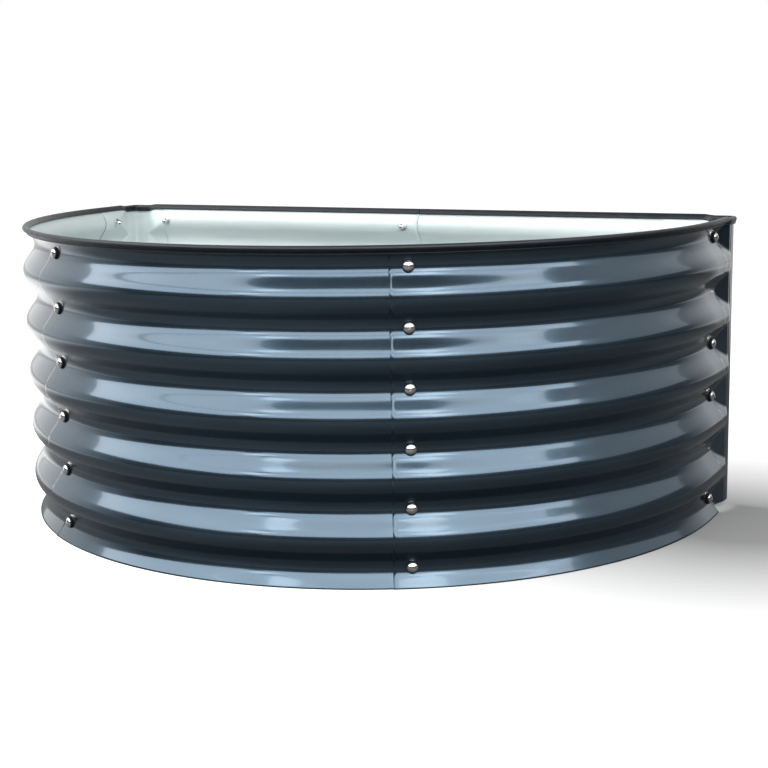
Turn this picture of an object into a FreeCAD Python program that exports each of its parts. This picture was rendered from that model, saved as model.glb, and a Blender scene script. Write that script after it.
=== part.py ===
import FreeCAD, Part
import math
import os

import Sketcher

# Raised garden bed: a half-round ring of waved sheet steel, open at the top and the bottom.
# Two formed corner pieces and five panels lap at seven bolted seams, and a rubber strip covers
# the top edge. Millimetres, +Z up. The origin is the middle of the bed on the ground, +Y is the
# flat back and -Y the round front.
#
# Names used throughout: the "garden face" is the inner face of the sheet and "out" is away from
# the soil. A groove is where the wave comes nearest to the soil, and a crest where it is farthest.

Vector = FreeCAD.Vector
Placement = FreeCAD.Placement
Rotation = FreeCAD.Rotation

UP = Vector(0, 0, 1)
OUT = Vector(1, 0, 0)

ROWS = 6          # bolt rows, one in each groove
REACH = 20        # how far a cutting solid runs past the sheet on either side
OVERRUN = 5       # how far the corner's blocks run past the sheet's edges before they are trimmed

# ---------------------------------------------------------------------------------------------
# Driving sizes
# ---------------------------------------------------------------------------------------------

DRIVING_SIZES = {
    # waved sheet
    "wave_pitch": (76, "height from one groove to the next"),
    "wave_depth": (18, "from groove to crest on the garden face"),
    "bend_radius": (21.5, "radius of grooves and crests on the garden face"),
    "edge_margin": (24.5, "from the outermost groove to the sheet's edge"),
    "sheet_thickness": (0.8, "steel with its paint"),
    # plan
    "front_radius": (524.2, "round front, on the line midway between groove and crest"),
    "side_run": (102, "straight length from the round front to the back line"),
    "bolt_to_corner": (70, "from a corner to the seams on either side of it"),
    "front_tail": (25, "sheet past the bolts where two panels lap"),
    "panel_tail": (12, "panel past the bolts where it laps a corner piece"),
    "corner_tail": (30, "corner piece past the bolts"),
    "back_seam": (0, "place of the middle seam along the back"),
    "lap_gap": (0.3, "play between two lapped sheets"),
    # formed corner
    "strip_level": (4, "how far out the flat strip at the corner stands"),
    "strip_width": (20, "flat strip on each side of the corner"),
    "ramp_clearance": (13, "from the ends of the pressed ramps to the bolts"),
    "nose_length": (10, "the crests' run down to the strip"),
    "corner_bend": (7.5, "bend of the corner on the garden face"),
    "notch_rise": (10, "how high the corner's foot is cut away"),
    "notch_clearance": (8, "from the cut-away to the panel that laps the leg"),
    "corner_dip": (1.8, "how much lower the top is at the corner"),
    "dip_clearance": (16, "from where the top edge starts to fall to the panel"),
    "dip_landing": (4, "level top past the flat strip"),
    # edge strip
    "trim_width": (8, "across the rubber strip"),
    "trim_leg": (8, "strip below the sheet's edge"),
    "trim_lip": (2.5, "strip above the sheet's edge"),
    "trim_play": (0.25, "between the slot's walls and the sheets"),
    "trim_roof": (0.15, "between the slot's end and the sheets"),
    "trim_joint": (25, "where the strip's ends meet, along the back"),
    "trim_joint_gap": (0.5, "between the strip's ends"),
    # bolts, rubber washers and cap nuts
    "seat_gap": (0.25, "between a fastener's faces and what they sit on"),
    "shank_diameter": (6, "bolt shank"),
    "hole_play": (1, "a bolt hole is wider than the shank"),
    "shank_reach": (6.5, "shank past the inner sheet, inside the nut"),
    "head_diameter": (14.5, "bolt head"),
    "head_rim": (0.9, "upright rim of the head"),
    "head_rise": (3.2, "crown of the head above its rim"),
    "head_crown": (7, "top of the crown"),
    "rubber_overhang": (0.5, "rubber washer past the bolt head"),
    "rubber_rim": (1, "its least thickness, at the top and bottom of the rim"),
    "rubber_play": (0.6, "its hole is wider than the shank"),
    "flange_overhang": (2, "nut's flange past the flats"),
    "flange_thickness": (1.6, "nut's flange"),
    "nut_flats": (10, "across the nut's flats"),
    "nut_height": (4.4, "hexagon above the flange"),
    "nut_cap_rise": (4, "cap above the hexagon"),
    "nut_crown": (5, "top of the cap"),
    "nut_play": (0.4, "the nut's blind hole is wider than the shank"),
    "bore_end_play": (0.6, "between the shank's end and the blind hole's"),
}

DERIVED_SIZES = {
    "half_depth": "wave_depth / 2",
    "bend_span": "2 * bend_radius - wave_depth",
    "bend_distance": "sqrt(pow(wave_pitch / 2; 2) + pow(bend_span; 2))",
    "flank_angle": "(asin(2 * bend_radius / bend_distance) - atan(2 * bend_span / wave_pitch)) / 1deg",
    "sheet_height": "2 * edge_margin + %d * wave_pitch" % (ROWS - 1),
    "edge_slant": "sheet_thickness * sin(flank_angle * 1deg)",
    "lap_offset": "(sheet_thickness + lap_gap) / 2",
    "arc_centre_y": "(front_radius - side_run - lap_offset) / 2",
    "back_line_y": "arc_centre_y + side_run",
    "panel_span": "(2 * side_run + pi * front_radius - 2 * bolt_to_corner) / 3",
    "side_sweep": "(bolt_to_corner + panel_span - side_run) / front_radius * 180 / pi",
    "middle_sweep": "180 - 2 * side_sweep",
    "tail_sweep": "front_tail / front_radius * 180 / pi",
    "panel_end": "bolt_to_corner - panel_tail",
    "leg_length": "bolt_to_corner + corner_tail",
    "ramp_reach": "bolt_to_corner - ramp_clearance",
    "nose_reach": "strip_width + nose_length",
    "notch_reach": "panel_end - notch_clearance",
    "dip_start": "panel_end - dip_clearance",
    "dip_end": "strip_width + dip_landing",
    "hole_diameter": "shank_diameter + hole_play",
    "rubber_diameter": "head_diameter + 2 * rubber_overhang",
    "rubber_bore": "shank_diameter + rubber_play",
    "flange_diameter": "nut_flats + 2 * flange_overhang",
    "nut_bore": "shank_diameter + nut_play",
    "rubber_seat": "sheet_thickness + lap_offset + seat_gap",
    "groove_radius": "bend_radius - sheet_thickness - seat_gap",
    "groove_rise": "groove_radius - sqrt(pow(groove_radius; 2) - pow(rubber_diameter / 2; 2))",
    "rubber_top": "rubber_seat + groove_rise + rubber_rim",
    "head_seat": "rubber_top + seat_gap",
    "nut_seat": "lap_offset + seat_gap",
}

doc = FreeCAD.newDocument("raised_garden_bed")
sizes = doc.addObject("Spreadsheet::Sheet", "Sizes")


def fill_sheet():
    row = 1
    for name, (value, note) in DRIVING_SIZES.items():
        sizes.set("A%d" % row, name)
        sizes.set("B%d" % row, str(value))
        sizes.set("C%d" % row, note)
        sizes.setAlias("B%d" % row, name)
        row += 1
    for name, formula in DERIVED_SIZES.items():
        sizes.set("A%d" % row, name)
        sizes.set("B%d" % row, "=" + formula)
        sizes.setAlias("B%d" % row, name)
        row += 1
    doc.recompute()


fill_sheet()


def size(name):
    """A named size as a plain number."""
    value = sizes.get(name)
    return float(getattr(value, "Value", value))


def bind(thing, **formulas):
    """Ties properties of an object to formulas of named sizes."""
    for name, formula in formulas.items():
        words = formula.split()
        named = ["Sizes." + word if word in DRIVING_SIZES or word in DERIVED_SIZES else word for word in words]
        thing.setExpression(name, " ".join(named))


def feature(name, shape, placement=None):
    """A document object that holds a shape made by a function."""
    thing = doc.addObject("Part::Feature", name)
    thing.Shape = shape
    if placement is not None:
        thing.Placement = placement
    return thing


def boolean(kind, name, base, tool):
    thing = doc.addObject("Part::" + kind, name)
    thing.Base = base
    thing.Tool = tool
    return thing


def fuse(name, things):
    thing = doc.addObject("Part::MultiFuse", name)
    thing.Shapes = things
    return thing


# ---------------------------------------------------------------------------------------------
# Seams: where two sheets lap and are bolted
# ---------------------------------------------------------------------------------------------

RADIUS = size("front_radius")
CENTRE_Y = size("arc_centre_y")
BACK_Y = size("back_line_y")
THETA = math.radians(size("flank_angle"))


def facing(x, y, angle):
    """Placement of a point of the plan: local X points out, local Y to the right seen from outside."""
    return Placement(Vector(x, y, 0), Rotation(UP, angle))


def on_front(angle):
    radians = math.radians(angle)
    return facing(RADIUS * math.cos(radians), CENTRE_Y + RADIUS * math.sin(radians), angle)


SIDE_SEAM_Y = BACK_Y - size("bolt_to_corner")
BACK_SEAM_X = RADIUS - size("bolt_to_corner")
LEFT_JOINT = 180 + size("side_sweep")
RIGHT_JOINT = 360 - size("side_sweep")

SEAMS = {
    "left_side": facing(-RADIUS, SIDE_SEAM_Y, 180),
    "front_left": on_front(LEFT_JOINT),
    "front_right": on_front(RIGHT_JOINT),
    "right_side": facing(RADIUS, SIDE_SEAM_Y, 0),
    "back_right": facing(BACK_SEAM_X, BACK_Y, 90),
    "back_middle": facing(size("back_seam"), BACK_Y, 90),
    "back_left": facing(-BACK_SEAM_X, BACK_Y, 90),
}

# Two holes of the right-hand seam carry no bolt: the second from the bottom and the second from the top.
OPEN_HOLES = {"right_side": (1, ROWS - 2)}


def groove_height(row):
    return size("edge_margin") + row * size("wave_pitch")


def in_groove(seam, row):
    """Placement of a bolt: on the garden face of the wave, in the groove of this row."""
    lift = Placement(Vector(-size("half_depth"), 0, groove_height(row)), Rotation())
    return SEAMS[seam] * lift


def cutters(seams):
    """All that a sheet loses: its bolt holes at the given seams and what would reach below the ground."""
    span = 4 * RADIUS
    drills = [Part.makeBox(span, span, REACH, Vector(-span / 2, -span / 2, -REACH))]
    for seam in seams:
        for row in range(ROWS):
            drill = Part.makeCylinder(size("hole_diameter") / 2, 2 * REACH, Vector(-REACH, 0, 0), OUT)
            drill.Placement = in_groove(seam, row) * drill.Placement
            drills.append(drill)
    return Part.makeCompound(drills)


def lap_shift(seam_a, side_a, seam_b, side_b):
    """How a piece moves in plan to lie outside (+1) or inside (-1) its neighbour at each of its two seams."""
    out_a = SEAMS[seam_a].Rotation.multVec(OUT)
    out_b = SEAMS[seam_b].Rotation.multVec(OUT)
    move_a = side_a * size("lap_offset")
    move_b = side_b * size("lap_offset")
    spread = out_a.x * out_b.y - out_a.y * out_b.x
    if abs(spread) < 1e-6:
        return Placement(out_a * move_a, Rotation())
    shift_x = (move_a * out_b.y - move_b * out_a.y) / spread
    shift_y = (out_a.x * move_b - out_b.x * move_a) / spread
    return Placement(Vector(shift_x, shift_y, 0), Rotation())


# ---------------------------------------------------------------------------------------------
# The waved section
# ---------------------------------------------------------------------------------------------

def is_groove(bend):
    """Bends are numbered from the bottom. The even ones are grooves and the odd ones crests."""
    return bend % 2 == 0


BENDS = range(2 * ROWS - 1)


def bend_centre(bend):
    towards_crest = size("bend_radius") - size("half_depth")
    out = towards_crest if is_groove(bend) else -towards_crest
    return Vector(out, size("edge_margin") + bend * size("wave_pitch") / 2, 0)


def bend_end(bend, offset, side):
    """Where a bend of the wave line, moved out by offset, turns straight: side -1 below, +1 above."""
    groove = is_groove(bend)
    radius = size("bend_radius") - offset if groove else size("bend_radius") + offset
    away = -1 if groove else 1
    return bend_centre(bend) + Vector(away * radius * math.cos(THETA), side * radius * math.sin(THETA), 0)


def flank_end(offset, height, side):
    """The outermost straight flank, run on to a height below or above the outermost groove."""
    start = bend_end(BENDS[0] if side < 0 else BENDS[-1], offset, side)
    return Vector(start.x + abs(height - start.y) * math.tan(THETA), height, 0)


def wave_pieces(offset, low, high):
    """Lines and arcs of the wave line from bottom to top. Sketch X is out and sketch Y is up."""
    pieces = []
    at = flank_end(offset, low, -1)
    for bend in BENDS:
        below = bend_end(bend, offset, -1)
        above = bend_end(bend, offset, 1)
        pieces.append(Part.LineSegment(at, below))
        radius = abs(below.x - bend_centre(bend).x) / math.cos(THETA)
        middle = math.pi if is_groove(bend) else 0
        circle = Part.Circle(bend_centre(bend), UP, radius)
        pieces.append(Part.ArcOfCircle(circle, middle - THETA, middle + THETA))
        at = above
    pieces.append(Part.LineSegment(at, flank_end(offset, high, 1)))
    return pieces


START, END, CENTRE, ORIGIN = 1, 2, 3, -1


def wave_sketch():
    """The garden face of the sheet in side view. It starts a little low, to be cut level on the ground."""
    sketch = doc.addObject("Sketcher::SketchObject", "wave_line")
    sketch.Placement = Placement(Vector(0, 0, 0), Rotation(OUT, 90))
    pieces = wave_pieces(0, -size("edge_slant"), size("sheet_height"))
    sketch.addGeometry(pieces, False)
    last = len(pieces) - 1
    limit = Sketcher.Constraint

    for index in range(last):
        is_line = index % 2 == 0
        if is_line:
            entered = END if is_groove(index // 2) else START
            sketch.addConstraint(limit("Tangent", index, END, index + 1, entered))
        else:
            left = START if is_groove(index // 2) else END
            sketch.addConstraint(limit("Tangent", index, left, index + 1, START))

    def measure(kind, *where, formula):
        number = sketch.addConstraint(limit(kind, *where))
        bind(sketch, **{"Constraints[%d]" % number: formula})

    measure("Radius", 1, size("bend_radius"), formula="bend_radius")
    for bend in BENDS:
        arc = 2 * bend + 1
        centre = bend_centre(bend)
        if bend > 0:
            sketch.addConstraint(limit("Equal", 1, arc))
        out = "bend_radius - half_depth" if is_groove(bend) else "half_depth - bend_radius"
        measure("DistanceX", ORIGIN, START, arc, CENTRE, centre.x, formula=out)
        up = "edge_margin + %d * wave_pitch / 2" % bend
        measure("DistanceY", ORIGIN, START, arc, CENTRE, centre.y, formula=up)

    measure("DistanceY", ORIGIN, START, 0, START, -size("edge_slant"), formula="- edge_slant")
    sketch.addConstraint(limit("Parallel", 0, 4))
    sketch.addConstraint(limit("Parallel", last, 2))
    measure("DistanceY", ORIGIN, START, last, END, size("sheet_height"), formula="sheet_height")
    return sketch


def wave_section(sketch):
    """The sheet's cut face: the wave line thickened outwards."""
    section = doc.addObject("Part::Offset2D", "wave_section")
    section.Source = sketch
    section.Mode = "Skin"
    section.Join = "Arc"
    section.Fill = True
    section.Value = -size("sheet_thickness")
    bind(section, Value="- sheet_thickness")
    return section


SECTION = wave_section(wave_sketch())


# ---------------------------------------------------------------------------------------------
# Panels
# ---------------------------------------------------------------------------------------------

def bent_run(name, start, formula):
    """Sheet rolled round the front, anticlockwise from a polar angle."""
    run = doc.addObject("Part::Revolution", name)
    run.Source = SECTION
    run.Axis = UP
    run.Base = Vector(-RADIUS, 0, 0)
    run.Solid = True
    bind(run, Angle=formula)
    run.setExpression("Base.x", "-Sizes.front_radius")
    run.Placement = on_front(start)
    return run


def straight_run(name, start, way, formula):
    """Flat waved sheet. It runs to the right (+1) or the left (-1), seen from outside."""
    run = doc.addObject("Part::Extrusion", name)
    run.Base = SECTION
    run.DirMode = "Custom"
    run.Dir = Vector(0, way, 0)
    run.Solid = True
    bind(run, LengthFwd=formula)
    run.Placement = start
    return run


def drilled(name, blank, shift, seams):
    """Moves a blank to its place in the laps, drills it with its neighbours and levels its foot."""
    doc.recompute()
    return feature(name, placed(blank.Shape, shift).cut(cutters(seams)))


def front_panels():
    left = fuse("front_left_blank", [
        straight_run("front_left_flat", on_front(180), -1, "side_run - panel_end"),
        bent_run("front_left_bend", 180, "side_sweep + tail_sweep"),
    ])
    right = fuse("front_right_blank", [
        bent_run("front_right_bend", RIGHT_JOINT - size("tail_sweep"), "side_sweep + tail_sweep"),
        straight_run("front_right_flat", on_front(360), 1, "side_run - panel_end"),
    ])
    middle = bent_run("front_middle_blank", LEFT_JOINT - size("tail_sweep"), "middle_sweep + 2 * tail_sweep")
    return [
        drilled("front_panel_left", left,
                lap_shift("left_side", 1, "front_left", -1), ["left_side", "front_left"]),
        drilled("front_panel_middle", middle,
                lap_shift("front_left", 1, "front_right", -1), ["front_left", "front_right"]),
        drilled("front_panel_right", right,
                lap_shift("front_right", 1, "right_side", 1), ["front_right", "right_side"]),
    ]


def back_panels():
    """Both run to the left seen from outside, so from right to left here they are drawn from their ends."""
    reach = size("front_tail")
    seam = size("back_seam")
    left = straight_run("back_left_blank", facing(seam + reach, BACK_Y, 90), 1,
                        "front_radius - panel_end + back_seam + front_tail")
    right = straight_run("back_right_blank", facing(RADIUS - size("panel_end"), BACK_Y, 90), 1,
                         "front_radius - panel_end - back_seam + front_tail")
    return [
        drilled("back_panel_left", left,
                lap_shift("back_middle", -1, "back_left", -1), ["back_middle", "back_left"]),
        drilled("back_panel_right", right,
                lap_shift("back_right", 1, "back_middle", 1), ["back_right", "back_middle"]),
    ]


# ---------------------------------------------------------------------------------------------
# Formed corner pieces
# ---------------------------------------------------------------------------------------------
# The corner's own frame has its origin on the corner line. One leg runs to -Y and faces +X, and the
# other is its mirror image, running to -X and facing +Y. Along a leg the waves end in three steps:
# pressed ramps rise out of the grooves, the crests run down as noses, and both meet a flat strip
# that is bent round the corner.

STRIP = size("strip_level")
GARDEN_SIDE = size("half_depth") + 5     # back of the solid block that a leg is carved from
DIAGONAL = Vector(1, -1, 0)


def mitred(points, offset):
    """An open path in plan moved sideways, to the left of its run, with mitred corners."""
    normals = []
    for first, second in zip(points, points[1:]):
        run = (second - first).normalize()
        normals.append(Vector(-run.y, run.x, 0))
    moved = [points[0] + normals[0] * offset]
    for point, before, after in zip(points[1:], normals, normals[1:]):
        moved.append(point + (before + after) * (offset / (1 + before.dot(after))))
    moved.append(points[-1] + normals[-1] * offset)
    return moved


def plan_block(path, low, high):
    """An upright block on a closed outline in plan."""
    outline = Part.makePolygon(path + [path[0]])
    base = Part.Face(outline)
    base.translate(Vector(0, 0, low))
    return base.extrude(Vector(0, 0, high - low))


def leg_block(offset):
    """All that lies on the soil's side of one leg, its surface moved out by offset."""
    low = -OVERRUN
    high = size("sheet_height") + OVERRUN
    start = STRIP + offset
    end = -size("leg_length")

    line = [piece.toShape() for piece in wave_pieces(offset, low, high)]
    foot = flank_end(offset, low, -1)
    head = flank_end(offset, high, 1)
    back_low = Vector(-GARDEN_SIDE, low, 0)
    back_high = Vector(-GARDEN_SIDE, high, 0)
    line.append(Part.makeLine(head, back_high))
    line.append(Part.makeLine(back_high, back_low))
    line.append(Part.makeLine(back_low, foot))
    profile = Part.Face(Part.Wire(line))
    profile.Placement = Placement(Vector(0, start, 0), Rotation(OUT, 90))
    waves = profile.extrude(Vector(0, end - start, 0))

    strip_top = Vector(STRIP, start, 0)
    strip_end = Vector(STRIP, -size("strip_width"), 0)

    ramp_run = size("ramp_reach") - size("strip_width")
    slope = (STRIP + size("half_depth")) / ramp_run
    ramp_end = Vector(-GARDEN_SIDE, strip_end.y - (STRIP + GARDEN_SIDE) / slope, 0)
    ramp = mitred([ramp_end, strip_end, strip_top], -offset)
    ramp_outline = [Vector(-GARDEN_SIDE, ramp[0].y, 0)] + ramp + [Vector(-GARDEN_SIDE, start, 0)]
    ramps = plan_block(ramp_outline, low, high)

    nose_run = size("nose_reach") - size("strip_width")
    nose_slope = (size("half_depth") - STRIP) / nose_run
    nose_end = Vector(REACH, strip_end.y - (REACH - STRIP) / nose_slope, 0)
    nose = mitred([nose_end, strip_end, strip_top], -offset)
    nose_outline = [Vector(-GARDEN_SIDE, start, 0), Vector(-GARDEN_SIDE, end, 0), Vector(nose[0].x, end, 0)] + nose
    noses = plan_block(nose_outline, low, high)

    return waves.fuse(ramps).common(noses)


def corner_block(offset):
    """Both legs as one block, with the corner's edge rounded."""
    leg = leg_block(offset)
    block = leg.fuse(leg.mirror(Vector(0, 0, 0), DIAGONAL)).removeSplitter()
    edge_at = STRIP + offset
    corner_edges = [edge for edge in block.Edges
                    if edge.BoundBox.XMin > edge_at - 0.01 and edge.BoundBox.YMin > edge_at - 0.01]
    return block.makeFillet(size("corner_bend") + offset, corner_edges)


def top_of_corner(lift):
    """What is cut away above the top edge, raised by lift. The edge falls towards the corner."""
    edge = size("sheet_height") - size("edge_slant") + lift
    dip = size("sheet_height") - size("corner_dip") + lift
    over = size("sheet_height") + 2 * REACH
    far = -size("leg_length") - REACH
    side = Part.makePolygon([
        Vector(-REACH, far, edge), Vector(-REACH, -size("dip_start"), edge),
        Vector(-REACH, -size("dip_end"), dip), Vector(-REACH, REACH, dip),
        Vector(-REACH, REACH, over), Vector(-REACH, far, over), Vector(-REACH, far, edge),
    ])
    leg = Part.Face(side).extrude(Vector(2 * REACH, 0, 0))
    return leg.fuse(leg.mirror(Vector(0, 0, 0), DIAGONAL))


def notch_of_corner():
    """The corner's foot stands clear of the ground."""
    reach = size("notch_reach")
    return Part.makeBox(reach + REACH, reach + REACH, size("notch_rise") + REACH, Vector(-reach, -reach, -REACH))


def corner_pieces():
    """One pressing serves both corners: the left one is the right one turned a quarter."""
    sheet = corner_block(size("sheet_thickness")).cut(corner_block(0))
    sheet = sheet.cut(top_of_corner(0)).cut(notch_of_corner())
    right = feature("corner_right_blank", sheet, facing(RADIUS, BACK_Y, 0))
    left = feature("corner_left_blank", sheet.copy(), facing(-RADIUS, BACK_Y, 90))
    return [
        drilled("corner_left", left,
                lap_shift("left_side", -1, "back_left", 1), ["left_side", "back_left"]),
        drilled("corner_right", right,
                lap_shift("right_side", -1, "back_right", -1), ["right_side", "back_right"]),
    ]


# ---------------------------------------------------------------------------------------------
# Edge strip
# ---------------------------------------------------------------------------------------------
# A U-section that leans out with the sheet's last flank, and stands upright at the corners.

def strip_faces(lean, foot):
    """Cut faces of the strip and of its slot. The foot is the sheet's top edge on the garden face."""
    across = Vector(math.cos(lean), 0, -math.sin(lean))
    along = Vector(math.sin(lean), 0, math.cos(lean))

    def point(out, up):
        return foot + across * out + along * up

    middle = size("sheet_thickness") / 2
    half = size("trim_width") / 2
    leg = -size("trim_leg")
    shoulder = size("trim_lip") - half
    body = Part.Wire([
        Part.makeLine(point(middle - half, leg), point(middle + half, leg)),
        Part.makeLine(point(middle + half, leg), point(middle + half, shoulder)),
        Part.Arc(point(middle + half, shoulder), point(middle, shoulder + half),
                 point(middle - half, shoulder)).toShape(),
        Part.makeLine(point(middle - half, shoulder), point(middle - half, leg)),
    ])
    room = size("lap_offset") + size("trim_play")
    inner = -room
    outer = size("sheet_thickness") + room
    roof = size("lap_offset") * math.sin(lean) + size("trim_roof")
    slot = Part.makePolygon([
        point(inner, 2 * leg), point(outer, 2 * leg), point(outer, roof), point(inner, roof),
        point(inner, 2 * leg),
    ])
    return Part.Face(body), Part.Face(slot)


def flank_foot():
    edge = flank_end(0, size("sheet_height"), 1)
    return Vector(edge.x, 0, edge.y)


def placed(shape, placement):
    """A copy of a shape, moved to a place."""
    copy = shape.copy()
    copy.Placement = placement * copy.Placement
    return copy


def leaning_runs():
    """Body and slot of the strip round the front, along the sides and along the back."""
    runs = []
    side = size("side_run") - size("dip_start")
    back = 2 * (RADIUS - size("dip_start"))
    for face in strip_faces(THETA, flank_foot()):
        front = face.revolve(Vector(-RADIUS, 0, 0), UP, 180)
        runs.append([
            placed(front, on_front(180)),
            placed(face.extrude(Vector(0, -side, 0)), on_front(180)),
            placed(face.extrude(Vector(0, side, 0)), on_front(360)),
            placed(face.extrude(Vector(0, back, 0)), facing(back / 2, BACK_Y, 90)),
        ])
    return runs


def corner_strip():
    """The strip round a corner: it turns upright along each leg and is bent in the middle."""
    upright = 0
    corner_foot = Vector(STRIP, 0, size("sheet_height") - size("corner_dip"))
    leaning = strip_faces(THETA, flank_foot())[0]
    standing = strip_faces(upright, corner_foot)[0]
    bend = size("corner_bend") - STRIP
    leaning_end = placed(leaning.OuterWire, Placement(Vector(0, -size("dip_start"), 0), Rotation()))
    standing_end = placed(standing.OuterWire, Placement(Vector(0, -size("dip_end"), 0), Rotation()))
    turning = Part.makeLoft([leaning_end, standing_end], True, True)
    level = placed(standing, Placement(Vector(0, -size("dip_end"), 0), Rotation()))
    leg = level.extrude(Vector(0, size("dip_end") - bend, 0)).fuse(turning)
    start = placed(standing, Placement(Vector(0, -bend, 0), Rotation()))
    round_part = start.revolve(Vector(-bend, -bend, 0), UP, 90)
    return round_part.fuse([leg, leg.mirror(Vector(0, 0, 0), DIAGONAL)])


def corner_slot():
    """The slot round a corner follows the formed sheet itself, with the strip's play."""
    room = size("lap_offset") + size("trim_play")
    sheet = corner_block(size("sheet_thickness") + room).cut(corner_block(-room))
    reach = size("dip_start") + 1
    top_zone = Part.makeBox(reach + REACH, reach + REACH, 2 * REACH,
                            Vector(-reach, -reach, size("sheet_height") - REACH))
    return sheet.cut(top_of_corner(size("trim_roof"))).common(top_zone)


def edge_trim():
    bodies, slots = leaning_runs()
    strip = corner_strip()
    slot = corner_slot()
    for place in (facing(RADIUS, BACK_Y, 0), facing(-RADIUS, BACK_Y, 90)):
        bodies.append(placed(strip, place))
        slots.append(placed(slot, place))
    joint = Part.makeBox(size("trim_joint_gap"), 2 * REACH, 2 * REACH,
                         Vector(size("trim_joint"), BACK_Y - REACH, size("sheet_height") - REACH))
    trim = bodies[0].fuse(bodies[1:]).cut(slots + [joint])
    return feature("edge_trim", trim.removeSplitter())


# ---------------------------------------------------------------------------------------------
# Bolts, rubber washers and cap nuts
# ---------------------------------------------------------------------------------------------
# Each is made once on the X axis, heads outwards, with X = 0 on the garden face of the wave.
# The crowns are plain cones, because each repeats forty times.

ALONG_X = Rotation(Vector(0, 1, 0), 90)
ALONG_MINUS_X = Rotation(Vector(0, 1, 0), -90)


def cylinder(name, radius, height, start, turn=ALONG_X):
    thing = doc.addObject("Part::Cylinder", name)
    thing.Placement = Placement(Vector(0, 0, 0), turn)
    bind(thing, Radius=radius, Height=height)
    bind(thing, **{"Placement.Base.x": start})
    return thing


def crown(name, radius, top, rise, start, turn):
    """The tapered top of a head or a cap nut."""
    thing = doc.addObject("Part::Cone", name)
    thing.Placement = Placement(Vector(0, 0, 0), turn)
    bind(thing, Radius1=radius, Radius2=top, Height=rise)
    bind(thing, **{"Placement.Base.x": start})
    return thing


def bolt_master():
    """Low crowned head with an upright rim, and a plain shank."""
    return fuse("bolt", [
        cylinder("bolt_shank", "shank_diameter / 2", "head_seat + lap_offset + shank_reach",
                 "- lap_offset - shank_reach"),
        cylinder("bolt_rim", "head_diameter / 2", "head_rim", "head_seat"),
        crown("bolt_crown", "head_diameter / 2", "head_crown / 2", "head_rise", "head_seat + head_rim", ALONG_X),
    ])


def washer_master():
    """Rubber disc, flat under the bolt head and rounded on its other side to fill the groove."""
    disc = cylinder("rubber_disc", "rubber_diameter / 2", "rubber_top", "0")
    groove = doc.addObject("Part::Cylinder", "rubber_groove")
    groove.Placement = Placement(Vector(0, -REACH, 0), Rotation(OUT, -90))
    groove.Height = 2 * REACH
    bind(groove, Radius="groove_radius")
    bind(groove, **{"Placement.Base.x": "bend_radius + lap_offset"})
    bore = cylinder("rubber_hole", "rubber_bore / 2", "2 * rubber_top", "- rubber_top / 2")
    return boolean("Cut", "washer", boolean("Common", "rubber_blank", disc, groove), bore)


def nut_master():
    """Flanged hexagon with a tapered cap, open towards the sheet."""
    hexagon = doc.addObject("Part::Prism", "nut_hexagon")
    hexagon.Polygon = 6
    hexagon.Placement = Placement(Vector(0, 0, 0), ALONG_MINUS_X)
    hexagon.setExpression("Circumradius", "Sizes.nut_flats / sqrt(3)")
    bind(hexagon, Height="flange_thickness + nut_height")
    bind(hexagon, **{"Placement.Base.x": "- nut_seat"})
    solid = fuse("nut_solid", [
        cylinder("nut_flange", "flange_diameter / 2", "flange_thickness", "- nut_seat", ALONG_MINUS_X),
        hexagon,
        crown("nut_cap", "nut_flats / 2", "nut_crown / 2", "nut_cap_rise",
              "- nut_seat - flange_thickness - nut_height", ALONG_MINUS_X),
    ])
    bore = cylinder("nut_hole", "nut_bore / 2", "shank_reach + bore_end_play + nut_seat", "0", ALONG_MINUS_X)
    return boolean("Cut", "nut", solid, bore)


def fastener_groups():
    """One group of bolts, one of washers and one of nuts for each seam."""
    masters = {"bolts": bolt_master(), "washers": washer_master(), "nuts": nut_master()}
    doc.recompute()
    groups = []
    for seam in SEAMS:
        rows = [row for row in range(ROWS) if row not in OPEN_HOLES.get(seam, ())]
        for kind, master in masters.items():
            copies = [placed(master.Shape, in_groove(seam, row)) for row in rows]
            groups.append(feature("%s_%s" % (kind, seam), Part.makeCompound(copies)))
    return groups


# ---------------------------------------------------------------------------------------------
# Build, test and write
# ---------------------------------------------------------------------------------------------

nodes = corner_pieces() + front_panels() + back_panels() + [edge_trim()] + fastener_groups()
doc.recompute()

for thing in doc.Objects:
    for state in ("Invalid", "Error"):
        if state in thing.State:
            raise RuntimeError("%s is %s" % (thing.Label, state))

os.makedirs("parts", exist_ok=True)
for node in nodes:
    shape = node.Shape
    if shape.isNull() or not shape.isValid() or not shape.Solids:
        raise RuntimeError("%s has no valid solid" % node.Label)
    shape.exportStep("parts/%s.step" % node.Label)
    print("%-20s %2d solid(s)" % (node.Label, len(shape.Solids)))
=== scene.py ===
# %% [markdown]
# # A half-round raised garden bed
# The bed is a ring of waved sheet steel without a top or a bottom. Five panels and two pressed
# corner pieces lap at seven seams, each held by a column of bolts, and a rubber strip covers the
# top edge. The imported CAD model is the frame: it says where every piece is. This lesson gives
# each piece its smooth visible shape and its finish, then lights it like a studio photograph.

# %% Load the frame
import math

import bmesh
import bpy
from mathutils import Matrix, Vector


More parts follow.
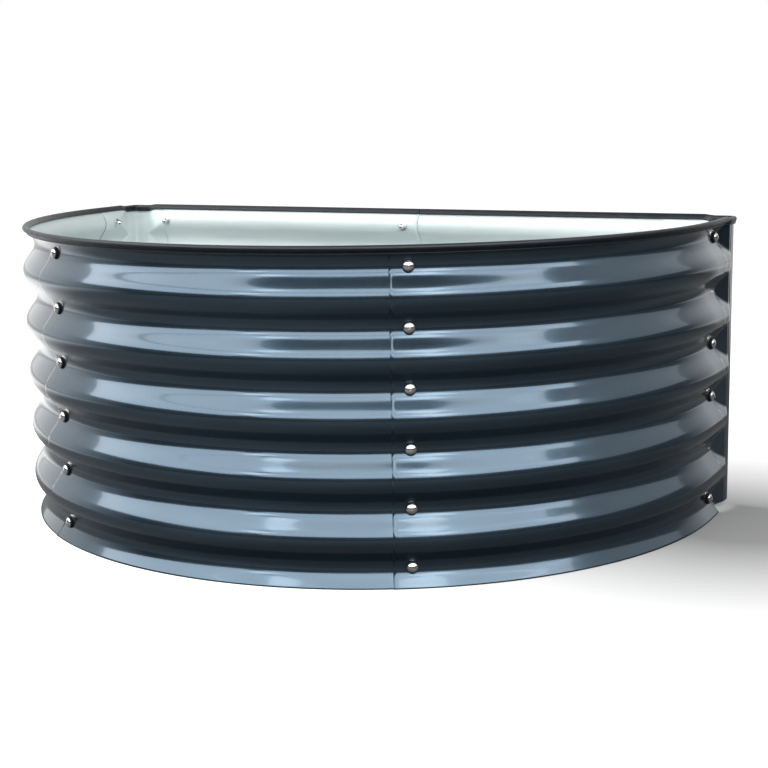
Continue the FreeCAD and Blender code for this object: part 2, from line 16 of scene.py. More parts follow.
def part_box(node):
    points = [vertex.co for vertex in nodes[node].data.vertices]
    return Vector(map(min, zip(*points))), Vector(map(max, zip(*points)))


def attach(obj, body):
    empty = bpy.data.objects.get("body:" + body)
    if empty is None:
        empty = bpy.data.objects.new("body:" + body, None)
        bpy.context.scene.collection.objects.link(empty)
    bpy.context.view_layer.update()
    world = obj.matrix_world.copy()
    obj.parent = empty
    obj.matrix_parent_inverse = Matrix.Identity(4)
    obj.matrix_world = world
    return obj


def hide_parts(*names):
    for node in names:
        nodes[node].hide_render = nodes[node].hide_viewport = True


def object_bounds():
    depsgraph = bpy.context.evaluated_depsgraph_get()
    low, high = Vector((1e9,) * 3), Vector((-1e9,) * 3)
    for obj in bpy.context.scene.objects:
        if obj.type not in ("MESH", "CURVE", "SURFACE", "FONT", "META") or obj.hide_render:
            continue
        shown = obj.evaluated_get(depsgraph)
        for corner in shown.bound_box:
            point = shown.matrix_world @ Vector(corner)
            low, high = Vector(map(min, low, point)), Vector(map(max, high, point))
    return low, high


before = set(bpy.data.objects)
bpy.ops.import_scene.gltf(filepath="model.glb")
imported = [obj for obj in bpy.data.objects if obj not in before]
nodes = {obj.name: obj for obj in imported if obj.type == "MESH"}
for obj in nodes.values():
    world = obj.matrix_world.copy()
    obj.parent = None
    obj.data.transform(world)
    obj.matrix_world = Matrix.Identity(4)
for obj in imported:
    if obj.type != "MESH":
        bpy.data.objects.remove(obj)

cad_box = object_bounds()
print(len(nodes), "nodes, box", cad_box)

# %% [markdown]
# ## Sizes read from the frame
# A visible piece must lie where its CAD node lies. The plan of the bed follows from a few boxes:
# the back panels give the back line, and the whole object's width gives the radius. What a box
# can't tell, such as the pitch of the waves, is a named length in metres.

# %% Sizes
PITCH = 0.076            # height from one groove of the sheet to the next
DEPTH = 0.018            # from groove to crest
BEND = 0.0215            # radius of the bends on the garden face
THICK = 0.0008           # sheet
MARGIN = 0.0245          # from the outermost groove to the edge
ROWS = 6                 # grooves, each with one bolt at a seam
LAP = 0.00055            # half the distance between two lapped sheets
BOLT_TO_CORNER = 0.070
TAIL = 0.025             # sheet past the bolts where panels lap
SHORT_TAIL = 0.012       # panel past the bolts at a corner piece

HALF = DEPTH / 2
HEIGHT = 2 * MARGIN + (ROWS - 1) * PITCH
low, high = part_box("back_panel_left")
BACK_Y = low[1] + HALF + LAP
RADIUS = cad_box[1][0] - HALF - THICK - LAP
low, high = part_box("front_panel_middle")
CENTRE_Y = low[1] + RADIUS + HALF + THICK
SIDE = BACK_Y - CENTRE_Y
RUN = 2 * SIDE + math.pi * RADIUS
SPAN = (RUN - 2 * BOLT_TO_CORNER) / 3
print("radius %.4f, side %.4f, front run %.4f, panel %.4f" % (RADIUS, SIDE, RUN, SPAN))

# %% [markdown]
# ## The wave
# Rolled steel bends in round crests and grooves. The CAD section joins arcs with straight
# flanks. Real sheet is never quite straight between two bends, and gloss paint shows that at
# once, so the visible wave is the mean of that section and a sine. They differ by a third of a
# millimetre.

# %% Wave
BEND_SPAN = 2 * BEND - DEPTH      # how far apart, in and out, the centres of two bends lie
BEND_DISTANCE = math.hypot(PITCH / 2, BEND_SPAN)
THETA = math.asin(2 * BEND / BEND_DISTANCE) - math.atan2(BEND_SPAN, PITCH / 2)


def bend_profile(away):
    """Distance from the middle line at a height away from a bend's centre: +HALF at the bend."""
    arc_reach = BEND * math.sin(THETA)
    if away < arc_reach:
        return HALF - BEND + math.sqrt(BEND ** 2 - away ** 2)
    return HALF - BEND * (1 - math.cos(THETA)) - (away - arc_reach) * math.tan(THETA)


def wave(z):
    """How far out the garden face lies at height z."""
    steps = (z - MARGIN) / (PITCH / 2)
    bend = min(max(round(steps), 0), 2 * ROWS - 2)
    away = abs(steps - bend) * PITCH / 2
    side = -1 if bend % 2 == 0 else 1
    arcs = side * bend_profile(away)
    sine = -HALF * math.cos(math.pi * steps)
    return (arcs + sine) / 2


print("flank leans", round(math.degrees(THETA), 1), "degrees")

# %% [markdown]
# ## The plan
# Each sheet starts as a flat grid, x along the wall and y up. Its vertices are then moved onto
# the wall by one of three rules: the round front with its straight sides, the flat back, or a
# corner. Bending a grid by a rule keeps its columns upright and its rows level, so the paint's
# highlights run along the waves without a kink.

# %% Places on the wall
def on_front(run, out):
    """Point and outward direction at a run from the left corner, over the round front."""
    if run < SIDE:
        return Vector((-RADIUS - out, BACK_Y - run, 0))
    if run > RUN - SIDE:
        return Vector((RADIUS + out, CENTRE_Y + run - (RUN - SIDE), 0))
    angle = math.pi + (run - SIDE) / RADIUS
    return Vector(((RADIUS + out) * math.cos(angle), CENTRE_Y + (RADIUS + out) * math.sin(angle), 0))


def on_back(run, out):
    """Along the back, from right to left as the eye inside sees it: run is -x."""
    return Vector((-run, BACK_Y + out, 0))


SEAMS = {
    "left_side": (on_front, BOLT_TO_CORNER),
    "front_left": (on_front, BOLT_TO_CORNER + SPAN),
    "front_right": (on_front, BOLT_TO_CORNER + 2 * SPAN),
    "right_side": (on_front, RUN - BOLT_TO_CORNER),
    "back_right": (on_back, -RADIUS + BOLT_TO_CORNER),
    "back_middle": (on_back, 0),
    "back_left": (on_back, RADIUS - BOLT_TO_CORNER),
}
OPEN_HOLES = {"right_side": (1, ROWS - 2)}


def outward(seam):
    rule, run = SEAMS[seam]
    return (rule(run, 1) - rule(run, 0)).normalized()


def lap_shift(seam_a, side_a, seam_b, side_b):
    """The small move that puts a sheet outside (1) or inside (-1) its neighbours."""
    a, b = outward(seam_a), outward(seam_b)
    spread = a.x * b.y - a.y * b.x
    if abs(spread) < 1e-6:
        return a * side_a * LAP
    move = Vector((side_a * b.y - side_b * a.y, a.x * side_b - b.x * side_a, 0))
    return move * LAP / spread


for name in SEAMS:
    rule, run = SEAMS[name]
    print(name, tuple(round(v, 3) for v in rule(run, 0)))

# %% [markdown]
# ## Shader sums as Python
# Node trees get long when every sum is a node made by hand. A small class holds one socket and
# overloads the arithmetic operators, so an expression such as 1 - mask * 0.5 adds its Math
# nodes by itself. One method adds any other node.

# %% Material kit
class Wire:
    """One output socket of a material's node tree."""

    def __init__(self, finish, socket):
        self.finish = finish
        self.socket = socket

    def math(self, operation, *others):
        inputs = dict(enumerate((self,) + others))
        return self.finish.node("ShaderNodeMath", {"operation": operation}, inputs)

    def __add__(self, other):
        return self.math("ADD", other)

    def __radd__(self, other):
        return self.math("ADD", other)

    def __sub__(self, other):
        return self.math("SUBTRACT", other)

    def __rsub__(self, other):
        return self.finish.node("ShaderNodeMath", {"operation": "SUBTRACT"}, {0: other, 1: self})

    def __mul__(self, other):
        return self.math("MULTIPLY", other)

    def __rmul__(self, other):
        return self.math("MULTIPLY", other)

    def __truediv__(self, other):
        return self.math("DIVIDE", other)

    def __rtruediv__(self, other):
        return self.finish.node("ShaderNodeMath", {"operation": "DIVIDE"}, {0: other, 1: self})


class Finish:
    """The node tree of a new material, or another tree that is given, such as the world's."""

    def __init__(self, name, tree=None):
        if tree is None:
            self.material = bpy.data.materials.new(name)
            self.material.use_nodes = True
            tree = self.material.node_tree
        self.tree = tree
        self.tree.nodes.clear()

    def node(self, kind, settings=None, values=None, output=0):
        """Any node: its settings, and a value or a wire for each input."""
        node = self.tree.nodes.new(kind)
        for name, value in (settings or {}).items():
            setattr(node, name, value)
        for name, value in (values or {}).items():
            if isinstance(value, Wire):
                self.tree.links.new(value.socket, node.inputs[name])
            else:
                node.inputs[name].default_value = value
        return Wire(self, node.outputs[output])

    def place(self):
        """Object coordinates, in metres."""
        return self.node("ShaderNodeTexCoord", output="Object")

    def noise(self, scale, detail=2, roughness=0.5, where=None):
        values = {"Vector": where or self.place(), "Scale": scale, "Detail": detail,
                  "Roughness": roughness}
        return self.node("ShaderNodeTexNoise", None, values, "Fac")

    def stretched(self, x, y, z):
        return self.node("ShaderNodeMapping", None, {"Vector": self.place(), "Scale": (x, y, z)})

    def between(self, value, from_low, from_high, to_low, to_high):
        """A value brought from one range to another, and kept inside it."""
        values = {"Value": value, "From Min": from_low, "From Max": from_high,
                  "To Min": to_low, "To Max": to_high}
        return self.node("ShaderNodeMapRange", {"clamp": True}, values)

    def colours(self, factor, first, second):
        return self.node("ShaderNodeMix", {"data_type": "RGBA"}, {0: factor, 6: first, 7: second}, 2)

    def axis(self, vector, number):
        """One part of a vector: 0 is X, 1 is Y and 2 is Z."""
        return self.node("ShaderNodeSeparateXYZ", None, {0: vector}, number)

    def ray(self, kind):
        """1 where the light path is of a kind, such as Is Camera Ray."""
        return self.node("ShaderNodeLightPath", output=kind)

    def bump(self, height, distance, strength=1.0, over=None):
        values = {"Height": height, "Distance": distance, "Strength": strength}
        if over is not None:
            values["Normal"] = over
        return self.node("ShaderNodeBump", None, values, "Normal")

    def surface(self, **values):
        """The main shader. Base_Color stands for the socket Base Color, and so on."""
        named = {name.replace("_", " "): value for name, value in values.items()}
        return self.node("ShaderNodeBsdfPrincipled", None, named, "BSDF")

    def done(self, shader):
        output = self.tree.nodes.new("ShaderNodeOutputMaterial")
        self.tree.links.new(shader.socket, output.inputs["Surface"])
        print(self.material.name, len(self.tree.nodes), "nodes")
        return self.material


# %% [markdown]
# ## Outside paint
# Slate-blue gloss on steel. From close by, such paint has a faint orange peel, and a soft
# cloudiness that is stretched along the waves. The base colour stays dark, because most of what
# the eye sees on gloss paint is reflected light. A clear coat over a metallic base gives both
# parts of that reflection: a pale sharp one on top and a blue softer one beneath.

# %% Slate paint
def slate_surface(paint):
    clouds = paint.noise(1.0, 3, 0.55, paint.stretched(6, 6, 22))
    peel = paint.noise(420, 2, 0.6)
    rolled = paint.noise(1.0, 2, 0.5, paint.stretched(5, 5, 40))
    colour = paint.colours(paint.between(clouds, 0.3, 0.7, 0, 1),
                           (0.040, 0.072, 0.104, 1), (0.052, 0.090, 0.124, 1))
    rough = paint.between(clouds, 0.25, 0.75, 0.15, 0.24)
    waves = paint.bump(rolled, 0.0012, 0.3)
    relief = paint.bump(peel, 0.00002, 0.2, waves)
    return paint.surface(Base_Color=colour, Roughness=rough, Metallic=0.85, Normal=relief,
                         Coat_Weight=0.8, Coat_Roughness=0.07)


def slate_paint():
    paint = Finish("slate_paint")
    return paint.done(slate_surface(paint))


def cut_edge():
    """The sheared edge of a sheet: paint that has missed or left the corner in places."""
    edge = Finish("cut_edge")
    patches = edge.noise(1.0, 4, 0.6, edge.stretched(60, 60, 45))
    worn = edge.between(patches, 0.47, 0.56, 0, 1)
    steel = edge.surface(Base_Color=(0.62, 0.66, 0.70, 1), Metallic=1.0, Roughness=0.32)
    both = edge.node("ShaderNodeMixShader", None, {0: worn, 1: slate_surface(edge), 2: steel})
    return edge.done(both)


def pale_coat():
    """The garden face: a thin pale grey-green primer with a soft sheen."""
    coat = Finish("pale_coat")
    clouds = coat.noise(1.0, 3, 0.5, coat.stretched(5, 5, 16))
    specks = coat.noise(260, 2, 0.6)
    colour = coat.colours(coat.between(clouds, 0.3, 0.7, 0, 1),
                          (0.56, 0.64, 0.64, 1), (0.66, 0.72, 0.72, 1))
    rough = coat.between(specks, 0.3, 0.7, 0.30, 0.42)
    relief = coat.bump(clouds, 0.0008, 0.3)
    return coat.done(coat.surface(Base_Color=colour, Roughness=rough, Normal=relief))


SLATE = slate_paint()
PALE = pale_coat()
EDGE = cut_edge()

# %% [markdown]
# ## Sheets
# A bmesh grid gives the vertices, and the rule moves them onto the garden face of the wall. A
# Solidify modifier then adds the sheet's thickness outwards. The outer face keeps the slate paint
# of the first slot, and the offsets send the garden face to the pale coat and the rim to the bare
# edge. That is how the real sheet is coated, and one modifier does it.

# %% Sheet maker
def obj_from(bm, name, *materials):
    mesh = bpy.data.meshes.new(name)
    bm.to_mesh(mesh)
    bm.free()
    for material in materials:
        mesh.materials.append(material)
    piece = bpy.data.objects.new(name, mesh)
    bpy.context.collection.objects.link(piece)
    return piece


def stations(start, end, step, fine_places=(), fine_step=0.0006, reach=0.006):
    """Places along a line, a step apart, and closer together near the places that need it."""
    places = [start]
    while places[-1] < end - step / 4:
        here = places[-1]
        near = any(abs(here + step / 2 - place) < reach + step for place in fine_places)
        places.append(min(here + (fine_step if near else step), end))
    return places


def bent_grid(across, up, rule):
    """A grid with a column at each place across and a row at each height, moved by a rule."""
    bm = bmesh.new()
    columns, rows = len(across) - 1, len(up) - 1
    bmesh.ops.create_grid(bm, x_segments=columns, y_segments=rows, size=0.5)
    for vert in bm.verts:
        column = round((vert.co.x + 0.5) * columns)
        row = round((vert.co.y + 0.5) * rows)
        vert.co = rule(across[column], up[row])
    return bm


def punch(bm, centres, radius):
    """Opens round holes: faces inside a circle go, and the rim's vertices move onto it."""
    for centre in centres:
        inside = [face for face in bm.faces if (face.calc_center_median() - centre).length < radius]
        rim = {vert for face in inside for vert in face.verts}
        bmesh.ops.delete(bm, geom=inside, context="FACES")
        for vert in rim:
            if vert.is_valid and vert.link_faces:
                away = vert.co - centre
                vert.co = centre + away.normalized() * radius


def sheet(name, bm, shift):
    """Gives a bent grid its thickness and its coats, and lets it stand for its CAD node."""
    bmesh.ops.translate(bm, verts=bm.verts, vec=shift)
    bmesh.ops.recalc_face_normals(bm, faces=bm.faces)
    bm.faces.ensure_lookup_table()
    sample = bm.faces[len(bm.faces) // 3]
    spot = sample.calc_center_median()
    if sample.normal.dot(spot - Vector((0, CENTRE_Y, spot.z))) < 0:
        bmesh.ops.reverse_faces(bm, faces=bm.faces)
    for face in bm.faces:
        face.smooth = True
    piece = obj_from(bm, name + "_sheet", SLATE, PALE, EDGE)
    solid = piece.modifiers.new("thickness", "SOLIDIFY")
    solid.thickness = THICK
    solid.offset = 1
    solid.material_offset = 1
    solid.material_offset_rim = 2
    solid.use_even_offset = True
    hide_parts(name)
    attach(piece, "root")
    print(name, len(piece.data.polygons), "faces")
    return piece


# %% [markdown]
# ## Panels
# The three front panels are equal between their bolts, and each reaches a little past them. Seen
# from outside, the left edge of each lies over its neighbour, and the last one lies over the right
# corner piece too. The step is about a millimetre, which shows as the fine dark line beside a
# column of bolts. Two bolts of the right side are absent, so both sheets are punched there.

# %% Panels
COLUMN_STEP, ROW_STEP = 0.006, 0.0019
HOLE = 0.0035            # radius of a bolt hole


def groove(row):
    return MARGIN + row * PITCH


def bolt_place(seam, row):
    """The middle of a bolt hole on the garden face."""
    rule, run = SEAMS[seam]
    point = rule(run, -HALF)
    return Vector((point.x, point.y, groove(row)))


open_rows = [row for empty in OPEN_HOLES.values() for row in empty]
open_places = [bolt_place("right_side", row) for row in open_rows]


def panel(name, rule, start, end, shift, holes=()):
    def place(run, z):
        point = rule(run, wave(z))
        return Vector((point.x, point.y, z))
    across = stations(start, end, COLUMN_STEP, [SEAMS["right_side"][1]] if holes else ())
    up = stations(0, HEIGHT, ROW_STEP, [groove(row) for row in open_rows] if holes else ())
    bm = bent_grid(across, up, place)
    punch(bm, holes, HOLE)
    return sheet(name, bm, shift)


first, second, third = BOLT_TO_CORNER, BOLT_TO_CORNER + SPAN, BOLT_TO_CORNER + 2 * SPAN
panel("front_panel_left", on_front, first - SHORT_TAIL, second + TAIL,
      lap_shift("left_side", 1, "front_left", -1))
panel("front_panel_middle", on_front, second - TAIL, third + TAIL,
      lap_shift("front_left", 1, "front_right", -1))
panel("front_panel_right", on_front, third - TAIL, RUN - first + SHORT_TAIL,
      lap_shift("front_right", 1, "right_side", 1), open_places)
back_end = RADIUS - BOLT_TO_CORNER + SHORT_TAIL
panel("back_panel_left", on_back, -TAIL, back_end, lap_shift("back_middle", -1, "back_left", -1))
panel("back_panel_right", on_back, -back_end, TAIL, lap_shift("back_right", 1, "back_middle", 1))

# %% [markdown]
# ## Corner pieces
# This pressing is the hardest shape of the bed. Along each leg the grooves fill up in straight
# ramps, the crests run down as rounded noses, and both end in a flat strip that is bent round
# the corner. As heights above the wall that is a larger-of and a smaller-of three simple
# functions. A soft larger-of rounds the creases as a press does.

# %% Corner surface
STRIP_LEVEL = 0.004      # how far out the strip at the corner stands
STRIP = 0.020            # its width on each side of the corner
RAMP_REACH = 0.057       # where the ramps run out in the grooves
NOSE_REACH = 0.030       # where the crests start to run down
CORNER_BEND = 0.0075
LEG = 0.100
NOTCH_RISE, NOTCH_REACH = 0.010, 0.050
DIP, DIP_START, DIP_END = 0.0018, 0.042, 0.024
CREASE = 0.0022          # rounding of the pressed creases


def soft_max(a, b, width):
    """The larger of two values, rounded over a width where they are nearly equal."""
    mixed = max(width - abs(a - b), 0) / width
    return max(a, b) + mixed * mixed * width / 4


def soft_min(a, b, width):
    return -soft_max(-a, -b, width)


def corner_out(along, z):
    """How far out the garden face of the corner piece lies, at a distance along the leg."""
    slope = (STRIP_LEVEL + HALF) / (RAMP_REACH - STRIP)
    ramp = STRIP_LEVEL - max(along - STRIP, 0) * slope
    nose = STRIP_LEVEL + max(along - STRIP, 0) * (HALF - STRIP_LEVEL) / (NOSE_REACH - STRIP)
    if along < STRIP * 0.8:
        return STRIP_LEVEL
    return soft_min(soft_max(wave(z), ramp, CREASE), nose, CREASE)


def corner_point(signed, out):
    """Place at a distance from the corner: positive on the leg along -Y, negative along -X."""
    along = abs(signed)
    tangent = CORNER_BEND - STRIP_LEVEL
    if along < tangent:
        angle = math.radians(45) * (1 - along / tangent)
        arm = out + tangent
        point = Vector((arm * math.cos(angle) - tangent, arm * math.sin(angle) - tangent, 0))
    else:
        point = Vector((out, -along, 0))
    return point if signed > 0 else Vector((point.y, point.x, 0))


def top_of(along):
    """Height of the sheet's top edge, which falls a little towards the corner."""
    level = HEIGHT - THICK * math.sin(THETA)
    fallen = min(max((DIP_START - along) / (DIP_START - DIP_END), 0), 1)
    return level + (HEIGHT - DIP - level) * fallen


def corner(name, turn, where, shift, holes=()):
    def place(signed, share):
        z = share * top_of(abs(signed))
        point = corner_point(signed, corner_out(abs(signed), z))
        return Vector((point.x, point.y, z))
    leg = stations(0, LEG, 0.0013, [BOLT_TO_CORNER] if holes else ())
    across = [-distance for distance in reversed(leg[1:])] + leg
    up = stations(0, 1, ROW_STEP / HEIGHT)
    if holes:
        up = [z / HEIGHT for z in stations(0, HEIGHT, ROW_STEP, [groove(row) for row in open_rows])]
    bm = bent_grid(across, up, place)
    foot = [face for face in bm.faces
            if face.calc_center_median().z < NOTCH_RISE
            and max(-face.calc_center_median().x, -face.calc_center_median().y) < NOTCH_REACH]
    bmesh.ops.delete(bm, geom=foot, context="FACES")
    placed = Matrix.Translation(where) @ Matrix.Rotation(turn, 4, "Z")
    bmesh.ops.transform(bm, matrix=placed, verts=bm.verts)
    punch(bm, holes, HOLE)
    return sheet(name, bm, shift)


corner("corner_right", 0, Vector((RADIUS, BACK_Y, 0)),
       lap_shift("right_side", -1, "back_right", -1), open_places)
corner("corner_left", math.radians(90), Vector((-RADIUS, BACK_Y, 0)),
       lap_shift("left_side", -1, "back_left", 1))

# %% [markdown]
# ## Rubber for the edge strip
# The strip is extruded rubber with a fine diagonal rib, so that gloves don't slip on it. The ribs
# follow the strip's own run, so they read a UV map that the strip's maker lays along it: U is
# metres along the strip and V is metres round its section.

# %% Rubber finishes
def strip_rubber():
    rubber = Finish("strip_rubber")
    spot = rubber.node("ShaderNodeUVMap", {"uv_map": "strip_run"})
    along = rubber.axis(spot, 0)
    around = rubber.axis(spot, 1)
    rib = ((along + around * 0.8) * (2 * math.pi / 0.0030)).math("SINE")
    cross = ((along * 0.9 - around) * (2 * math.pi / 0.0034)).math("SINE")
    weave = rib * 0.7 + cross * 0.3
    dust = rubber.noise(90, 4, 0.6)
    colour = rubber.colours(rubber.between(dust + weave * 0.12, 0.40, 0.75, 0, 1),
                            (0.0022, 0.0045, 0.0080, 1), (0.007, 0.012, 0.019, 1))
    rough = rubber.between(dust, 0.3, 0.7, 0.32, 0.44)
    relief = rubber.bump(weave, 0.00016, 0.45)
    return rubber.done(rubber.surface(Base_Color=colour, Roughness=rough, Normal=relief))


def washer_rubber():
    rubber = Finish("washer_rubber")
    grain = rubber.noise(900, 2, 0.6)
    colour = rubber.colours(grain, (0.006, 0.007, 0.009, 1), (0.018, 0.020, 0.023, 1))
    rough = rubber.between(grain, 0.3, 0.7, 0.45, 0.62)
    relief = rubber.bump(grain, 0.00005, 0.5)
    return rubber.done(rubber.surface(Base_Color=colour, Roughness=rough, Normal=relief))


STRIP_RUBBER = strip_rubber()
WASHER_RUBBER = washer_rubber()

# %% [markdown]
# ## Edge strip
# A U of rubber is pushed over the sheet's top edge. Its section is one list of places round the
# U, from one foot over the crown to the other, and back through the slot.

# %% Strip section
STRIP_WIDTH, STRIP_LEG, STRIP_LIP = 0.008, 0.008, 0.0025
FOOT_ROUND = 0.0009      # rounding of the two feet
SLOT_HALF = 0.00115      # half the width of the slot that takes the sheets
SLOT_ROOF = 0.0005
FOOT_STEPS, CROWN_STEPS = 4, 12


def u_section():
    """Places round the U as (out, up) from the sheet's edge on the garden face."""
    middle = THICK / 2
    half = STRIP_WIDTH / 2
    foot = -STRIP_LEG
    path = []
    for step in range(FOOT_STEPS + 1):
        turn = math.radians(90 * step / FOOT_STEPS)
        path.append((middle + half - FOOT_ROUND - FOOT_ROUND * math.sin(turn),
                     foot + FOOT_ROUND - FOOT_ROUND * math.cos(turn)))
    for step in range(CROWN_STEPS + 1):
        turn = math.radians(180 * step / CROWN_STEPS)
        path.append((middle + half * math.cos(turn), STRIP_LIP - half + half * math.sin(turn)))
    for step in range(FOOT_STEPS + 1):
        turn = math.radians(90 * step / FOOT_STEPS)
        path.append((middle - half + FOOT_ROUND - FOOT_ROUND * math.cos(turn),
                     foot + FOOT_ROUND - FOOT_ROUND * math.sin(turn)))
    path += [(middle - SLOT_HALF, foot), (middle - SLOT_HALF, SLOT_ROOF),
             (middle + SLOT_HALF, SLOT_ROOF), (middle + SLOT_HALF, foot)]
    path.append(path[0])
    return path


SECTION = u_section()
print(len(SECTION), "places round the strip")

# %% [markdown]
# ## The strip along the edge
# The strip leans out with the last flank of the wave and turns upright at the corners, where the
# top of the pressing stands straight. The bent grid carries the section along the whole edge, with
# its columns close together round the corners. The two ends meet on the back with a hairline gap.

# %% Strip along the edge
JOINT_AT, JOINT_GAP = 0.025, 0.0005
TURN_STEP, FRONT_STEP, BACK_STEP = 0.0012, 0.006, 0.012


def wall_place(part, run, out):
    """Place on one stretch of the wall: the front, the back, or the left or right corner."""
    if part == "front":
        return on_front(run, out)
    if part == "back":
        return on_back(run, out)
    turn, side = (0, 1) if part == "right" else (90, -1)
    point = corner_point(run, out)
    return Matrix.Rotation(math.radians(turn), 3, "Z") @ point + Vector((side * RADIUS, BACK_Y, 0))


def strip_stations():
    """Stretches and runs, from the joint on the back round by the left, the front and the right."""
    leg = stations(0, DIP_START, TURN_STEP)
    turn = [-distance for distance in reversed(leg[1:])] + leg
    back_left = stations(-JOINT_AT + JOINT_GAP / 2, RADIUS - DIP_START, BACK_STEP)
    back_right = stations(-RADIUS + DIP_START, -JOINT_AT - JOINT_GAP / 2, BACK_STEP)
    front = stations(DIP_START, RUN - DIP_START, FRONT_STEP)
    stretches = [("back", back_left[:-1]), ("left", turn[::-1]), ("front", front[1:-1]),
                 ("right", turn[::-1]), ("back", back_right[1:])]
    return [(part, run) for part, runs in stretches for run in runs]


def strip_place(station, spot):
    """A place of the section, carried to a station of the edge."""
    part, run = station
    out, up = spot
    fallen = 0
    if part in ("left", "right"):
        fallen = min(max((DIP_START - abs(run)) / (DIP_START - DIP_END), 0), 1)
        fallen = fallen * fallen * (3 - 2 * fallen)
    lean = THETA * (1 - fallen)
    foot_out = wave(HEIGHT) + (STRIP_LEVEL - wave(HEIGHT)) * fallen
    foot_up = HEIGHT - DIP * fallen
    u = foot_out + out * math.cos(lean) + up * math.sin(lean)
    z = foot_up - out * math.sin(lean) + up * math.cos(lean)
    point = wall_place(part, run, u)
    return Vector((point.x, point.y, z))


def lengths(points):
    """How far along a chain of points each one lies."""
    far = [0]
    for a, b in zip(points, points[1:]):
        far.append(far[-1] + (b - a).length)
    return far


def edge_strip():
    places = strip_stations()
    bm = bent_grid(places, SECTION, strip_place)
    runs = lengths([strip_place(place, SECTION[(len(SECTION) - 1) // 3]) for place in places])
    rounds = lengths([Vector(spot) for spot in SECTION])
    uv = bm.loops.layers.uv.new("strip_run")
    bm.verts.index_update()
    for face in bm.faces:
        for loop in face.loops:
            row, column = divmod(loop.vert.index, len(places))
            loop[uv].uv = (runs[column], rounds[row])
    bmesh.ops.remove_doubles(bm, verts=bm.verts, dist=0.00001)
    bmesh.ops.holes_fill(bm, edges=[line for line in bm.edges if line.is_boundary], sides=0)
    bmesh.ops.recalc_face_normals(bm, faces=bm.faces)
    for face in bm.faces:
        face.smooth = len(face.verts) < 5
    for line in bm.edges:
        if len(line.link_faces) == 2 and line.calc_face_angle(0) > math.radians(50):
            line.smooth = False
    piece = obj_from(bm, "edge_strip", STRIP_RUBBER)
    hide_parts("edge_trim")
    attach(piece, "root")
    print("strip", len(piece.data.polygons), "faces,", round(runs[-1], 3), "m long")


edge_strip()

# %% [markdown]
# ## Plated steel
# Bolts and nuts are zinc plated. The bolt heads are polished bright and the nuts are duller, so
# one function makes both from a tone and a range of roughness. Faint smears vary the shine.

# %% Plated steel
def plated(name, tone, rough_low, rough_high):
    metal = Finish(name)
    smears = metal.noise(160, 3, 0.6)
    brushed = metal.noise(1500, 2, 0.5)
    dull = tuple(0.86 * part for part in tone[:3]) + (1,)
    colour = metal.colours(metal.between(smears, 0.3, 0.7, 0, 1), tone, dull)
    rough = metal.between(smears, 0.3, 0.7, rough_low, rough_high)
    relief = metal.bump(brushed, 0.00002, 0.3)
    return metal.done(metal.surface(Base_Color=colour, Metallic=1.0, Roughness=rough, Normal=relief))


CHROME = plated("bright_plating", (0.90, 0.89, 0.87, 1), 0.07, 0.16)
ZINC = plated("nut_plating", (0.80, 0.81, 0.80, 1), 0.16, 0.30)

# %% [markdown]
# ## Bolt, washer and nut
# Each is made once, about the X axis, with its zero on the garden face in the groove. Round parts
# are profiles spun about that axis. The bolt's cross recess comes from the ring round the pole:
# four parts of it are kept wide and the rest is pulled in, which draws a cross, and that ring is
# extruded down. The washer's lower face is bent to the groove, as rubber is when it is clamped.

# %% Fastener masters
SHANK, SHANK_END, SHANK_CHAMFER = 0.003, -0.00705, 0.0006
HEAD_SEAT, HEAD_RIM, HEAD_TOP, HEAD_RADIUS = 0.004375, 0.0009, 0.008475, 0.00725
RECESS = 0.0021          # radius of the cross recess
RECESS_DEPTH = 0.0014
ARM_END, ARM_START = 20, 70      # degrees of each quarter between which the ring is pulled in
BETWEEN_ARMS = 0.42      # share of the radius that is left there
BETWEEN_LIFT = 0.00018   # the dome is this much higher there
RECESS_TAPER = 0.6       # width of the cross's floor as a share of its mouth
AXIS = Vector((1, 0, 0))


def spun(profile, steps):
    """A solid of revolution about X from (along, radius) places."""
    bm = bmesh.new()
    verts = [bm.verts.new((along, radius, 0)) for along, radius in profile]
    for a, b in zip(verts, verts[1:]):
        bm.edges.new((a, b))
    bmesh.ops.spin(bm, geom=bm.verts[:] + bm.edges[:], cent=(0, 0, 0), axis=AXIS,
                   angle=2 * math.pi, steps=steps, use_merge=True)
    bmesh.ops.remove_doubles(bm, verts=bm.verts, dist=0.000001)
    return bm


def dome(start, rise, radius, inner, steps):
    """(along, radius) places over a spherical cap, from its rim to an inner radius."""
    ball = (radius ** 2 + rise ** 2) / (2 * rise)
    places = []
    for step in range(steps + 1):
        reach = radius + (inner - radius) * step / steps
        places.append((start + rise - ball + math.sqrt(ball ** 2 - reach ** 2), reach))
    return places


def finish_solid(bm, sharp):
    """Smooth shading, with an edge kept sharp where its faces meet at more than an angle."""
    bmesh.ops.recalc_face_normals(bm, faces=bm.faces)
    for face in bm.faces:
        face.smooth = True
    for line in bm.edges:
        if len(line.link_faces) == 2 and line.calc_face_angle(0) > math.radians(sharp):
            line.smooth = False
    return bm


